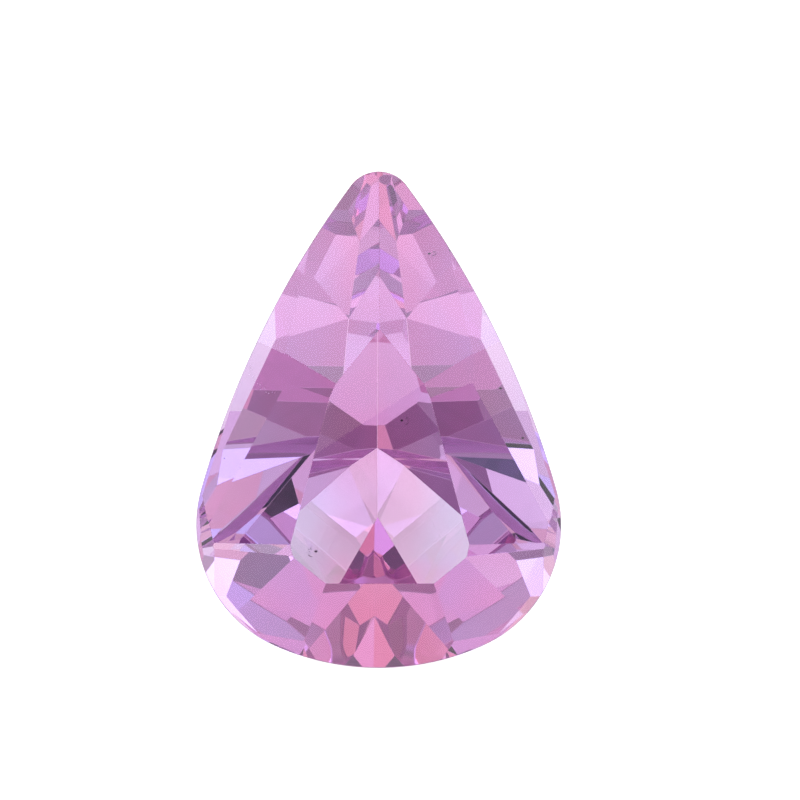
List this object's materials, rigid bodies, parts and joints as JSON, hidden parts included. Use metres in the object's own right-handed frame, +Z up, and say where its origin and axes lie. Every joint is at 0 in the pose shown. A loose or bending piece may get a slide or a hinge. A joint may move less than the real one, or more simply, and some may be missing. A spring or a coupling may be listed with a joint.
{
  "type": "pear cut kunzite gemstone",
  "caption": "Loose faceted pear-shaped pink-lilac gemstone with a narrow flat table and a thin polished girdle, lying on one facet of its pavilion.",
  "frame": {"origin": "on the surface that the stone rests on, under the middle of its bounding box", "axes": "+Z up from the surface; +Y from the round end towards the raised point, level; +X across the stone to the right as seen from the table"},
  "size_m": [0.015, 0.0162, 0.0135],
  "materials": {
    "kunzite": "polished, transparent, pink to lilac"
  },
  "bodies": {
    "root": {"kunzite_gem": "kunzite"}
  },
  "joints": []
}
